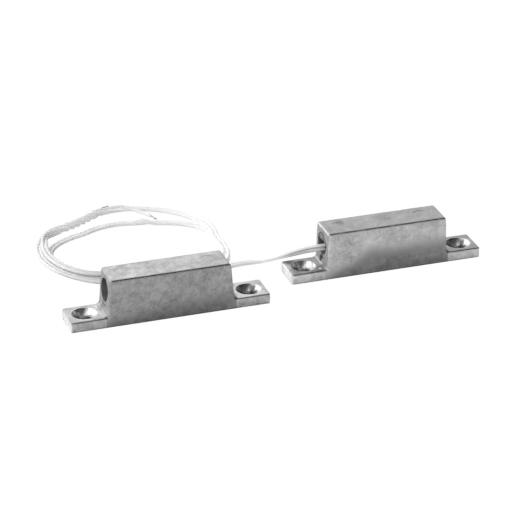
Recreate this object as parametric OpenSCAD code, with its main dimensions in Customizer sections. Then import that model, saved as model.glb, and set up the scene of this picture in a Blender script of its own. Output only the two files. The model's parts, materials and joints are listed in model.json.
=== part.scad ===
// Surface-mount magnetic door contact: a reed switch unit with two leads, and its magnet unit.
// Origin: centre of the switch housing's underside. +X runs along the housing, away from the
// leads, +Y points to the back and +Z away from the mounting surface. Units are millimetres.

/* [Housings] */
// Length of each housing over both ears
overall_l = 60; // [59:0.5:62]
// Width of the ears and of the block's base
base_w = 10.4; // [10:0.1:12]
// Thickness of the ears
ear_t = 3.1; // [2.8:0.1:3.6]
// Length of the block where it stands on the base
block_l = 38.4; // [38:0.1:38.6]
// Height of the block's top above the mounting surface
block_h = 14.6; // [14.4:0.1:16]
// How far the switch block's ends lean in at the top
switch_lean = 0.45; // [0.3:0.05:0.8]
// How far the magnet block's ends lean in at the top
magnet_lean = 1; // [0.6:0.05:1.4]
// Bevel along the top of the magnet block's ends
magnet_bevel = 0.35; // [0.2:0.05:0.8]
// Radius of the cast edges
edge_r = 0.4; // [0.3:0.05:0.6]

/* [Fixing holes] */
// Distance between the two fixing holes
hole_spacing = 49.6; // [49.4:0.1:50]
// Diameter of the fixing holes
hole_d = 3.9; // [3.4:0.1:4.2]
// Diameter of the countersinks at the ear's top
sink_d = 7.4; // [7:0.1:8]

/* [Bore] */
// Diameter of the blind bore
bore_d = 7; // [6.9:0.1:7.2]
// Height of the bore's axis
bore_z = 9.75; // [9.6:0.05:9.9]
// Wall left at the bore's closed end
end_wall = 3.5; // [3:0.1:4]
// How far the potting's face stands back from the mouth
potting_recess = 1.2; // [0.8:0.1:1.4]

/* [Magnet unit] */
// Place of the magnet unit's centre along X, door open
magnet_x = -70; // [-74:0.5:-68]
// Place of the magnet unit's centre along Y, door open
magnet_y = -9.3; // [-12:0.1:-8]
// Diameter of the rod magnet
magnet_d = 6.35; // [6:0.05:6.4]
// Length of the rod magnet
magnet_l = 25.4; // [20:0.2:28]

/* [Reed capsule] */
// Outside diameter of the glass
glass_d = 2.2; // [2.1:0.05:2.4]
// Length of the glass
glass_l = 14; // [13:0.5:15]
// Height of the glass above the bore's axis
capsule_rise = 0.9; // [0.8:0.05:1]
// Open gap between the two contact faces
contact_gap = 0.12; // [0.1:0.01:0.16]
// Diameter of the reed's stems
stem_d = 0.5; // [0.4:0.05:0.6]

/* [Leads] */
// Outside diameter of each lead's insulation
wire_d = 1.04; // [0.9:0.02:1.06]
// Diameter of each lead's stranded core
core_d = 0.62; // [0.4:0.02:0.64]
// Height of the pair's centre where it leaves the mouth
lead_exit_z = 8.3; // [8.2:0.05:8.4]
// Half the length of the coil of leads, X
coil_rx = 28.6; // [28:0.1:29]
// Half the depth of the coil of leads, Y
coil_ry = 26.8; // [26.6:0.1:27]
// Step inwards from one turn of the coil to the next
turn_pitch = 2.4; // [2.36:0.02:2.44]
// Full twists of the two free ends around the first turn
twists = 1.75; // [0.75:1:1.75]

/* [Hidden] */

round_fn = 96;      // fineness of the turned and drilled surfaces
hull_fn = 24;       // fineness of the cast edges
wire_sides = 8;     // flats around a lead's insulation
core_sides = 6;     // flats around a lead's core
stem_sides = 12;    // flats around the folded stem
gap = 0.02;         // clearance between pieces that are potted or fused together
eps = 0.01;         // overrun of a cut past the face it opens
turn_eps = 0.002;   // short step along the coil, in turns

// Housing
ear_corner_r = 0.6;     // plan radius of the ears' corners
ear_bevel = 0.25;       // bevel around the ears' top
block_w_lean = 0.15;    // lean of the block's long sides, each
switch_bevel = 0.15;    // bevel along the top of the switch block's ends
web_r = 1.85;           // radius of the hollow between block end and ear
web_h = 1.8;            // height of that hollow above the ear
web_out = 1.55;         // its reach from the block's foot
sink_depth = (sink_d - hole_d) / 2;
sink_over = 1;          // how far the countersink's cone runs on above the ear
mark_x = 13;            // distance of the ejector marks from the block's middle
mark_r = 2.8;           // radius of the ejector marks
mark_depth = 0.1;       // depth of the ejector marks
half_l = block_l / 2;
bore_end = half_l - end_wall;
mouth_x = -half_l + switch_lean * lead_exit_z / block_h;

// Pivot about which the leads swing
pivot_out = 0.28;       // from the mouth to the pivot
pivot_x = mouth_x - pivot_out;
pivot_gap = 0.25;       // from the pivot to the end of each wire
potting_face = mouth_x + potting_recess;

// Capsule
capsule_z = bore_z + capsule_rise;
capsule_x = 0.5;
glass_wall = 0.3;
seal_l = 1.5;
cavity_l = glass_l - 2 * seal_l;
blade_w = 1;
blade_t = 0.2;
plating_t = 0.03;
blade_overlap = 1;
stem_reach = 0.2;       // how far a stem reaches into the glass cavity
root_gap = 0.03;        // between a stem and its blade
blade_root = cavity_l / 2 - stem_reach - root_gap;
blade_l = blade_root + blade_overlap / 2;
plating_back = 0.3;     // from the blade's tip to its plating
glass_shoulder = 0.5;   // rounding of the glass at its ends
sleeve_wall = 0.3;
sleeve_l = 17;
front_joint_x = -10.6;  // where the front stem meets lead a's core
rear_joint_x = 6;       // where the folded rear stem meets lead b's core
joint_gap = 0.3;        // between stem and core, bridged by solder
solder_r = 0.6;
solder_l = 2.2;
shrink_wall = 0.15;
shrink_l = 4.4;
pair_gap = 0.1;         // between the two leads
lead_half = (wire_d + pair_gap) / 2;        // half the distance between the pair's centres
lead_a_z = lead_exit_z + lead_half;         // lead a leaves above lead b
lead_b_z = lead_exit_z - lead_half;
fold_r = (capsule_z - lead_b_z) / 2;        // fold of the rear stem
fold_x = capsule_x + sleeve_l / 2 + 0.4;
strip_l = 1;            // bare core from each insulation's end to its solder joint's middle
rise_from = -17.2;      // lead a climbs from the mouth's height here
rise_to = -13.8;        // to the capsule's height here
magnet_seat = 0.4;      // glue behind the magnet
magnet_start = bore_end - magnet_seat - magnet_l;

// Coil of leads: a flat spiral of two turns and a half, clockwise from above
coil_x = -67.9;
coil_y = 36.4;
// Places along it are counted in turns from the near side, and widths of a change in turns too
dent = 4.6;             // how far the first turn is pulled in where the ends wrap it
dent_at = 0.412;
dent_width = 0.125;
sink = 8.3;             // how much further in the second turn runs along the back
sink_from = 1.23;
sink_width = 0.175;
outset = 9.5;           // how far it comes out again towards the coil's right
outset_from = 1.566;
outset_width = 0.206;
settle = 1.2;           // how far it goes back in there
settle_from = 1.8;
settle_width = 0.12;
corner = 6.9;           // how far each turn swings out before it meets the leads
corner_at = 0.885;
corner_width = 0.11;
pair_lean = 90;         // degrees the pair stands up at the coil's right
lean_from = 0.64;
lean_to = 0.87;
lean_width = 0.12;
swap_from = 1.53;       // here the two leads change sides
swap_width = 0.09;
bundle_from = 0.345;    // the free ends join the first turn
bundle_to = 0.495;      // and leave it again
bundle_width = 0.045;
bundle_swell = 0.035;   // how far the twist pushes each wire out
twist_ease = 0.25;      // share of the twist over which it starts, and over which it stops
bundle_z = wire_d / 2 + 1.42 * (lead_half + bundle_swell) + 0.01;    // height of the twist's axis
tail_from = 2;          // the free ends begin
tail_climb = 0.06;
tail_z = 1.6;           // height at which they lie on the second turn
tail_shift_from = 0.04;
tail_shift = 0.1;
tail_inset = 1.8;       // their place inside the first turn's line
join_width = 0.06;      // over which they come down to the twist
join_lift = 0.6;        // how far they arch up on the way
part_from = 0.5;        // from here they part from the first turn
part_rate = 563;        // how fast, in mm for each turn squared
drop_from = 0.515;      // from here they lie flat
drop_width = 0.06;
tail_a_end = 2.588;     // lead a's insulation ends
tail_b_end = 2.486;     // lead b's insulation ends
tip_turns = 0.016;      // bare tinned tip
lead_steps = 3;         // stations per stretch of the run from the mouth to the coil
open_steps = 42;        // stations per turn where the pair runs straight round
swap_steps = 80;        // where it shifts or rolls over
wrap_steps = 150;       // and where it is twisted
stretches = [           // stretches of the coil: from, to, stations per turn
    [0, 0.24, open_steps], [0.24, 0.56, wrap_steps], [0.56, 1.16, open_steps],
    [1.16, 1.76, swap_steps], [1.76, 2, open_steps], [2, 2.26, swap_steps],
    [2.26, 2.6, wrap_steps]
];

// --- Curves ---------------------------------------------------------------------------

function smooth(x) = let (t = min(max(x, 0), 1)) t * t * (3 - 2 * t);
function mix(a, b, s) = a + (b - a) * s;
function bump(x, centre, width) = pow(cos(90 * min(abs(x - centre) / width, 1)), 2);
function window(x, from, to, width) = smooth((x - from) / width) - smooth((x - to) / width);
function part(x) = x - floor(x);
function unit(v) = v / norm(v);

// A point of the coil's spiral: turns from the near side, distance inside the first line, height
function on_coil(turn, inset, z) = let (a = -90 - 360 * turn)
    [coil_x + (coil_rx - inset) * cos(a), coil_y + (coil_ry - inset) * sin(a), z];
function on_line(turn) = on_coil(turn, line_inset(turn), 0);
// Level direction square to the line, away from the coil's middle
function outward(turn) = let (ahead = on_line(turn + turn_eps) - on_line(turn - turn_eps))
    unit([-ahead.y, ahead.x, 0]);
function around(turn, angle) = cos(angle) * outward(turn) + sin(angle) * [0, 0, 1];

function line_inset(turn) =
    turn_pitch * turn
    + dent * bump(turn, dent_at, dent_width)
    + sink * smooth((turn - sink_from) / sink_width)
    - outset * smooth((turn - outset_from) / outset_width)
    + settle * smooth((turn - settle_from) / settle_width)
    - corner * bump(part(turn), corner_at, corner_width);
function pair_roll(turn) =
    pair_lean * window(part(turn), lean_from, lean_to, lean_width)
    + 180 * smooth((turn - swap_from) / swap_width);
function flat_z(roll) = wire_d / 2 + lead_half * abs(sin(roll));

// The twist: how fully the four wires are bundled, how far they have turned, and how far apart
function bundled(turn) =
    window(turn, bundle_from - bundle_width, bundle_to - 0.4 * bundle_width, bundle_width);
function glide(x) = let (t = min(max(x, 0), 1), e = twist_ease, most = 2 * e * (1 - e))
    t < e ? t * t / most : t > 1 - e ? 1 - (1 - t) * (1 - t) / most : (t - e / 2) / (1 - e);
function twist_angle(turn) = 360 * twists * glide((turn - bundle_from) / (bundle_to - bundle_from));
function spacing(turn) = lead_half + bundle_swell * bundled(turn);

// Centre of the pair, or of the four wires where the ends wrap the first turn
function coil_axis(turn) = let (b = turn < 1 ? bundled(turn) : 0)
    on_coil(turn, line_inset(turn), mix(flat_z(pair_roll(turn)), bundle_z, b));

function plain_point(turn, side) =
    coil_axis(turn) + side * lead_half * around(turn, pair_roll(turn));
function wrapped_point(turn, side) = let (
    spin = twist_angle(turn),
    turned = 90 * smooth((turn - bundle_from + bundle_width) / bundle_width),
    roll = pair_roll(turn) + spin + turned)
    coil_axis(turn) + spacing(turn) * (bundled(turn) * around(turn, spin) + side * around(turn, roll));

// The free ends climb on to the second turn, then wrap the first one and fray from it
function tail_point(turn, side) = let (
    u = turn - tail_from,
    shifted = smooth((u - tail_shift_from) / tail_shift),
    inset = mix(line_inset(turn), turn_pitch * u + tail_inset, shifted),
    loose = on_coil(turn, inset, mix(wire_d / 2, tail_z, smooth(u / tail_climb))),
    joined = smooth((u - bundle_from + join_width) / join_width),
    spin = twist_angle(u),
    parted = part_rate * pow(max(u - part_from, 0), 2),
    dropped = smooth((u - drop_from) / drop_width),
    held = on_coil(u, line_inset(u), bundle_z) - spacing(u) * around(u, spin) - parted * outward(u),
    held_z = mix(held.z, wire_d / 2 + eps, dropped) + 4 * join_lift * joined * (1 - joined),
    roll = mix(180, 270, joined) + spin)
    mix(loose, [held.x, held.y, held_z], joined) + side * spacing(u) * around(u, roll);

function coil_point(turn, side) =
    turn < 1 ? wrapped_point(turn, side)
    : turn < tail_from ? plain_point(turn, side)
    : tail_point(turn, side);

// The run from the mouth to the coil passes smoothly through these points
mouth_run = [
    [pivot_x + 7, 0, lead_exit_z],
    [pivot_x - pivot_gap, 0, lead_exit_z],
    [-23.2, 2.4, 7],
    [-28.2, 6.6, 4.1],
    [-34, 10.2, 1.5],
    [-41, 10.9, 0.9],
    [-49, 8.3, 0.8],
    [-57.5, 8, 0.7],
    coil_axis(0),
    coil_axis(0.05)
];
run_spans = len(mouth_run) - 3;

function spline(p, i, u) = let (a = p[i - 1], b = p[i], c = p[i + 1], d = p[i + 2])
    0.5 * (2 * b + (c - a) * u + (2 * a - 5 * b + 4 * c - d) * u * u
        + (3 * b - a - 3 * c + d) * u * u * u);
function spline_slope(p, i, u) = let (a = p[i - 1], b = p[i], c = p[i + 1], d = p[i + 2])
    0.5 * ((c - a) + 2 * (2 * a - 5 * b + 4 * c - d) * u + 3 * (3 * b - a - 3 * c + d) * u * u);
function run_point(span, u, side) = let (
    ahead = unit(spline_slope(mouth_run, span, u)),
    left = unit(cross([0, 0, 1], ahead)),
    roll = mix(90, pair_roll(0), smooth(1.6 * (span - 1 + u) / run_spans)))
    spline(mouth_run, span, u) + side * lead_half * (cos(roll) * left + sin(roll) * [0, 0, 1]);

function evenly(from, to, count) = [for (i = [0:count - 1]) mix(from, to, i / count)];
stations = [for (s = stretches) each evenly(s[0], s[1], round((s[1] - s[0]) * s[2]))];

// Centre line of one lead outside the housing; side is 1 for lead a and -1 for lead b
function coil_line(side, end) = concat(
    [for (span = [1:run_spans], j = [0:lead_steps - 1]) run_point(span, j / lead_steps, side)],
    [for (t = stations) if (t < end - turn_eps) coil_point(t, side)],
    [coil_point(end, side)]);
function tail_tip(side, end) = [for (j = [1:2]) coil_point(end + j * tip_turns / 2, side)];

// --- Swept tubes ----------------------------------------------------------------------

// Direction of a line at point i
function heading(line, i) = unit(line[min(i + 1, len(line) - 1)] - line[max(i - 1, 0)]);
// One ring of the sweep, its flats set out from the sideways direction
function ring(line, i, r, sides, across) = let (
    t = heading(line, i),
    u = unit(cross(across, t)),
    v = cross(t, u))
    [for (k = [0:sides - 1]) line[i] + r * (cos(360 * (k + 0.5) / sides) * u
        + sin(360 * (k + 0.5) / sides) * v)];

// A solid wire along a line of points
module wire(line, r, sides, across = [0, 0, 1]) {
    n = len(line);
    polyhedron(
        points = [for (i = [0:n - 1]) each ring(line, i, r, sides, across)],
        faces = concat(
            [[for (k = [0:sides - 1]) k]],
            [for (i = [0:n - 2], k = [0:sides - 1]) let (a = i * sides + k, b = i * sides + (k + 1) % sides)
                each [[a, b + sides, b], [a, a + sides, b + sides]]],
            [[for (k = [sides - 1:-1:0]) (n - 1) * sides + k]]));
}

// A hollow wire: the outside less its own bore
module hose(line, r, sides, bore_r, bore_sides) {
    difference() {
        wire(line, r, sides);
        wire(stretched(line, eps), bore_r, bore_sides);
    }
}
// The same line with both ends run on by a little
function stretched(line, by) = let (n = len(line))
    concat([line[0] - by * heading(line, 0)], [for (i = [1:n - 2]) line[i]],
        [line[n - 1] + by * heading(line, n - 1)]);

// --- Lines inside the bore ------------------------------------------------------------

wire_start = pivot_x + pivot_gap;
lead_a_line = concat(
    [[wire_start, 0, lead_a_z]],
    [for (u = [0:0.25:1]) [mix(rise_from, rise_to, u), 0, mix(lead_a_z, capsule_z, smooth(u))]],
    [[front_joint_x - joint_gap / 2 - strip_l, 0, capsule_z]]);
lead_b_line = [[wire_start, 0, lead_b_z], [rear_joint_x - joint_gap / 2 - strip_l, 0, lead_b_z]];
rear_stem_line = concat(
    [[capsule_x + cavity_l / 2 - stem_reach, 0, capsule_z]],
    [for (a = [0:15:180]) [fold_x + fold_r * sin(a), 0, lead_b_z + fold_r * (1 + cos(a))]],
    [[rear_joint_x + joint_gap / 2, 0, lead_b_z]]);

// A line whose last point is run on by a length
function run_on(line, by) = let (n = len(line))
    concat([for (i = [0:n - 2]) line[i]], [line[n - 1] + by * heading(line, n - 1)]);

// A round bar along X
module bar(x0, x1, z, r) {
    translate([x0, 0, z]) rotate([0, 90, 0]) cylinder(r = r, h = x1 - x0, $fn = round_fn);
}

// --- Housings -------------------------------------------------------------------------

// The cast block: its ends lean, and its top end edges may carry a bevel
module block(lean, bevel) {
    r = edge_r;
    w = base_w / 2;
    hull() for (sx = [-1, 1], sy = [-1, 1]) {
        translate([sx * (half_l - r), sy * (w - r), 0]) cylinder(r = r, h = 1, $fn = hull_fn);
        translate([sx * (half_l - lean - bevel - r), sy * (w - block_w_lean - r), block_h - r])
            sphere(r = r, $fn = hull_fn);
        translate([sx * (half_l - lean - r), sy * (w - block_w_lean - r), block_h - 1.3 * bevel - r])
            sphere(r = r, $fn = hull_fn);
    }
}

module ears() {
    hull() for (sx = [-1, 1], sy = [-1, 1])
        translate([sx * (overall_l / 2 - ear_corner_r), sy * (base_w / 2 - ear_corner_r), 0]) {
            cylinder(r = ear_corner_r, h = ear_t - ear_bevel, $fn = hull_fn);
            cylinder(r = ear_corner_r - ear_bevel, h = ear_t, $fn = hull_fn);
        }
}

// Hollow-faced web that joins a block's end to its ear
module end_web(side) {
    web_w = base_w - 2 * edge_r;
    mirror([side < 0 ? 1 : 0, 0, 0]) difference() {
        translate([half_l - 1, -web_w / 2, ear_t / 2]) cube([1 + web_out, web_w, ear_t / 2 + web_h]);
        translate([half_l + web_out, -base_w, ear_t + web_h]) rotate([-90, 0, 0])
            cylinder(r = web_r, h = 2 * base_w, $fn = round_fn);
    }
}

module housing(lean, bevel) {
    difference() {
        union() {
            block(lean, bevel);
            ears();
            end_web(-1);
            end_web(1);
        }
        bar(-half_l - 1, bore_end, bore_z, bore_d / 2);
        for (sx = [-1, 1]) {
            translate([sx * hole_spacing / 2, 0, -1]) cylinder(d = hole_d, h = ear_t + 2, $fn = round_fn);
            translate([sx * hole_spacing / 2, 0, ear_t - sink_depth])
                cylinder(r1 = hole_d / 2, r2 = sink_d / 2 + sink_over, h = sink_depth + sink_over,
                    $fn = round_fn);
            translate([sx * mark_x, 0, block_h - mark_depth]) cylinder(r = mark_r, h = 1, $fn = round_fn);
        }
    }
}

module switch_housing() { color("#a9abae") housing(switch_lean, switch_bevel); }

// --- Reed switch ----------------------------------------------------------------------

module on_capsule() { translate([capsule_x, 0, capsule_z]) children(); }

module glass_capsule() {
    r = glass_d / 2;
    inner_r = r - glass_wall;
    h = glass_l / 2;
    c = cavity_l / 2;
    d = glass_shoulder;
    s = stem_d / 2 + gap;
    color("#9fd8c0") on_capsule() rotate([0, 90, 0]) rotate_extrude($fn = round_fn) polygon([
        [s, -h], [r - d, -h], [r, d - h], [r, h - d], [r - d, h], [s, h],
        [s, c], [inner_r, c - d], [inner_r, d - c], [s, -c]
    ]);
}

// A flattened blade with its root at the origin and its tip along +X
module blade() {
    root_w = 0.5;
    root_taper = 0.6;
    tip_w = 0.6;
    tip_taper = 0.3;
    linear_extrude(blade_t) polygon([
        [0, -root_w / 2], [root_taper, -blade_w / 2], [blade_l - tip_taper, -blade_w / 2],
        [blade_l, -tip_w / 2], [blade_l, tip_w / 2],
        [blade_l - tip_taper, blade_w / 2], [root_taper, blade_w / 2], [0, root_w / 2]
    ]);
}
module plating() {
    translate([blade_l - plating_back - blade_overlap, -blade_w / 2, blade_t])
        cube([blade_overlap, blade_w, plating_t]);
}
// The front blade lies below the gap; the rear one is the same blade turned end for end
module in_front() {
    on_capsule() translate([-blade_root, 0, -contact_gap / 2 - plating_t - blade_t]) children();
}
module in_rear() {
    on_capsule() rotate([0, 180, 0])
        translate([-blade_root, 0, -contact_gap / 2 - plating_t - blade_t]) children();
}

module reed_blade_front() { color("#c9c6bd") in_front() blade(); }
module reed_blade_rear() { color("#c9c6bd") in_rear() blade(); }
module contact_plating_front() { color("#e6e6ea") in_front() plating(); }
module contact_plating_rear() { color("#e6e6ea") in_rear() plating(); }

module reed_stem_front() {
    color("#c9c6bd")
        bar(front_joint_x + joint_gap / 2, capsule_x - cavity_l / 2 + stem_reach, capsule_z, stem_d / 2);
}
module reed_stem_rear() { color("#c9c6bd") wire(rear_stem_line, stem_d / 2, stem_sides, [0, 1, 0]); }

module capsule_sleeve() {
    r = glass_d / 2 + gap;
    x0 = capsule_x - sleeve_l / 2;
    color("#2f3033") difference() {
        bar(x0, x0 + sleeve_l, capsule_z, r + sleeve_wall);
        bar(x0 - 1, x0 + sleeve_l + 1, capsule_z, r);
    }
}

// --- Joints between reed and leads ----------------------------------------------------

module solder_joint(x, z) {
    color("#b9bcc0") difference() {
        bar(x - solder_l / 2, x + solder_l / 2, z, solder_r);
        bar(x + joint_gap / 2 - gap, x + solder_l, z, stem_d / 2 + gap);
        bar(x - solder_l, x - joint_gap / 2 + gap, z, core_d / 2 + gap);
    }
}
module shrink_sleeve(x, z) {
    r = solder_r + gap;
    color("#26272a") difference() {
        bar(x - shrink_l / 2, x + shrink_l / 2, z, r + shrink_wall);
        bar(x - shrink_l, x + shrink_l, z, r);
    }
}
module solder_joint_front() { solder_joint(front_joint_x, capsule_z); }
module solder_joint_rear() { solder_joint(rear_joint_x, lead_b_z); }
module shrink_sleeve_front() { shrink_sleeve(front_joint_x, capsule_z); }
module shrink_sleeve_rear() { shrink_sleeve(rear_joint_x, lead_b_z); }

// --- Leads inside the housing ---------------------------------------------------------

module lead_insulation(line) {
    color("#f1f1ee") hose(line, wire_d / 2, wire_sides, core_d / 2 + 2 * gap, core_sides);
}
module lead_core(line, by) { color("#c8b9a6") wire(run_on(line, by), core_d / 2, core_sides); }
module lead_a_insulation() { lead_insulation(lead_a_line); }
module lead_b_insulation() { lead_insulation(lead_b_line); }
module lead_a_core() { lead_core(lead_a_line, strip_l); }
module lead_b_core() { lead_core(lead_b_line, strip_l); }

// Epoxy that fills the bore around everything but its own mouth recess
module potting_compound() {
    sleeve_r = glass_d / 2 + sleeve_wall + 2 * gap;
    shrink_r = solder_r + shrink_wall + 2 * gap;
    color("#3a3a3c") difference() {
        bar(potting_face, bore_end - gap, bore_z, bore_d / 2 - gap);
        bar(capsule_x - sleeve_l / 2 - gap, capsule_x + sleeve_l / 2 + gap, capsule_z, sleeve_r);
        bar(front_joint_x - shrink_l / 2 - gap, front_joint_x + shrink_l / 2 + gap, capsule_z, shrink_r);
        bar(rear_joint_x - shrink_l / 2 - gap, rear_joint_x + shrink_l / 2 + gap, lead_b_z, shrink_r);
        bar(front_joint_x, capsule_x, capsule_z, stem_d / 2 + gap);
        wire(rear_stem_line, stem_d / 2 + 2 * gap, stem_sides, [0, 1, 0]);
        wire(lead_a_line, wire_d / 2 + 2 * gap, wire_sides);
        wire(lead_b_line, wire_d / 2 + 2 * gap, wire_sides);
    }
}

// --- Leads outside the housing --------------------------------------------------------

coil_a_line = coil_line(1, tail_a_end);
coil_b_line = coil_line(-1, tail_b_end);
module coil_a_insulation() { lead_insulation(coil_a_line); }
module coil_b_insulation() { lead_insulation(coil_b_line); }
module coil_core(line, side, end) {
    color("#c8b9a6") wire(concat(line, tail_tip(side, end)), core_d / 2, core_sides);
}
module coil_a_core() { coil_core(coil_a_line, 1, tail_a_end); }
module coil_b_core() { coil_core(coil_b_line, -1, tail_b_end); }

// --- Magnet unit ----------------------------------------------------------------------

module on_magnet() { translate([magnet_x, magnet_y, 0]) children(); }
module magnet_housing() { color("#a9abae") on_magnet() housing(magnet_lean, magnet_bevel); }
module bar_magnet() {
    color("#55565a") on_magnet() bar(magnet_start, magnet_start + magnet_l, bore_z, magnet_d / 2);
}
// Film of glue around the magnet and behind it
module magnet_adhesive() {
    color("#6b675c") on_magnet() difference() {
        bar(magnet_start, bore_end - gap, bore_z, bore_d / 2 - gap);
        bar(magnet_start - 1, magnet_start + magnet_l + gap, bore_z, magnet_d / 2 + gap);
    }
}

switch_housing();
glass_capsule();
reed_blade_front();
reed_blade_rear();
contact_plating_front();
contact_plating_rear();
reed_stem_front();
reed_stem_rear();
capsule_sleeve();
potting_compound();
solder_joint_front();
solder_joint_rear();
shrink_sleeve_front();
shrink_sleeve_rear();
lead_a_insulation();
lead_b_insulation();
lead_a_core();
lead_b_core();
coil_a_insulation();
coil_b_insulation();
coil_a_core();
coil_b_core();
magnet_housing();
bar_magnet();
magnet_adhesive();
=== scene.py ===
"""Door contact sensor: two cast housings, a rod magnet, potted reed leads and their coil."""
import json
import math
import random

import bmesh
import bpy
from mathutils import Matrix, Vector, noise


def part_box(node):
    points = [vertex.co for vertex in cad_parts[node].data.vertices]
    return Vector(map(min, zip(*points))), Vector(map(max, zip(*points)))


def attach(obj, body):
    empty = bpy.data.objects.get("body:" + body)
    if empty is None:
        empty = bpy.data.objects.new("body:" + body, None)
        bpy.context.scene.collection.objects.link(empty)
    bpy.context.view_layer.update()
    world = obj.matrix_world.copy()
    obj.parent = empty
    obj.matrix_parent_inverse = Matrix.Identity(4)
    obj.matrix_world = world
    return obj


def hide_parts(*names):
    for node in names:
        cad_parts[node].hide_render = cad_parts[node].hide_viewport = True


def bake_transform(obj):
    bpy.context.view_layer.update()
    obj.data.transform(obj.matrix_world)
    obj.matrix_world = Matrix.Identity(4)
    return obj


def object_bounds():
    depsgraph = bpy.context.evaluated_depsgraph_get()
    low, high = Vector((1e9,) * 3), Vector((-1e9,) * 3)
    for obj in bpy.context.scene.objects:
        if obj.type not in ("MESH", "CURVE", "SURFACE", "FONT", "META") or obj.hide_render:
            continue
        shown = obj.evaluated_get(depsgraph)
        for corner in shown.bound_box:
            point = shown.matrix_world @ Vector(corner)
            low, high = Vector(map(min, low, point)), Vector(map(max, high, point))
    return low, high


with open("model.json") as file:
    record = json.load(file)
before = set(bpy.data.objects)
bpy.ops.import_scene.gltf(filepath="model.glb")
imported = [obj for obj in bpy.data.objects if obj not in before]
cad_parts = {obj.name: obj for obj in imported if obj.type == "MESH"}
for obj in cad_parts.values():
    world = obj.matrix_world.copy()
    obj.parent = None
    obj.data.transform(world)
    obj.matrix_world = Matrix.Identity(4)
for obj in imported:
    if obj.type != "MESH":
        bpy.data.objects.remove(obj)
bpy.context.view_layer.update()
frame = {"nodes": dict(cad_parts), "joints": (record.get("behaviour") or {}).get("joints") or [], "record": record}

MM = 0.001
UP = Vector((0, 0, 1))

# ---------------------------------------------------------------- places read from the frame
MOUNTS = {m["name"]: m for m in frame["record"]["mounts"]}
HOLE_HALF = MOUNTS["switch_mount_holes"]["dims"]["spacing_x_mm"] * MM / 2
HOLE_R = MOUNTS["switch_mount_holes"]["dims"]["hole_r_mm"] * MM
JOINTS = {j["name"]: j for j in frame["joints"]}
PIVOT = Vector(JOINTS["lead_swing"]["pos_m"])
SWITCH_AT = Vector(MOUNTS["switch_base"]["pos_m"])
MAGNET_AT = Vector(MOUNTS["magnet_base"]["pos_m"])
POTTING_LOW, POTTING_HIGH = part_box("potting_compound")
POTTING_GAP = 0.02 * MM
BORE_R = (POTTING_HIGH.z - POTTING_LOW.z) / 2 + POTTING_GAP
BORE_Z = (POTTING_HIGH.z + POTTING_LOW.z) / 2
BORE_END = POTTING_HIGH.x + POTTING_GAP
HOUSING_LOW, HOUSING_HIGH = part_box("switch_housing")
HALF_W = (HOUSING_HIGH.y - HOUSING_LOW.y) / 2
TOP_HALF_W = HALF_W - 0.25 * MM     # half width of the block along its upper edges
TOP_Z = HOUSING_HIGH.z
BLOCK_HALF = 19.2 * MM
EAR_T = 3.1 * MM
SINK_R = 3.7 * MM
SINK_FOOT = EAR_T - (SINK_R - HOLE_R)
MARK_X, MARK_R, MARK_DEPTH = 13 * MM, 2.8 * MM, 0.08 * MM   # ejector pins' marks on the block's top
SWITCH_LEAN, MAGNET_LEAN = 0.45 * MM, 1.0 * MM              # how far the block's ends lean inwards

# Mark left by the core pin under the bore's mouth, in millimetres and degrees
CRESCENT_R, CRESCENT_DEPTH, CRESCENT_HALF_WIDTH, CRESCENT_HALF_ANGLE = 4.55, 0.16, 0.34, 26


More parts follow.
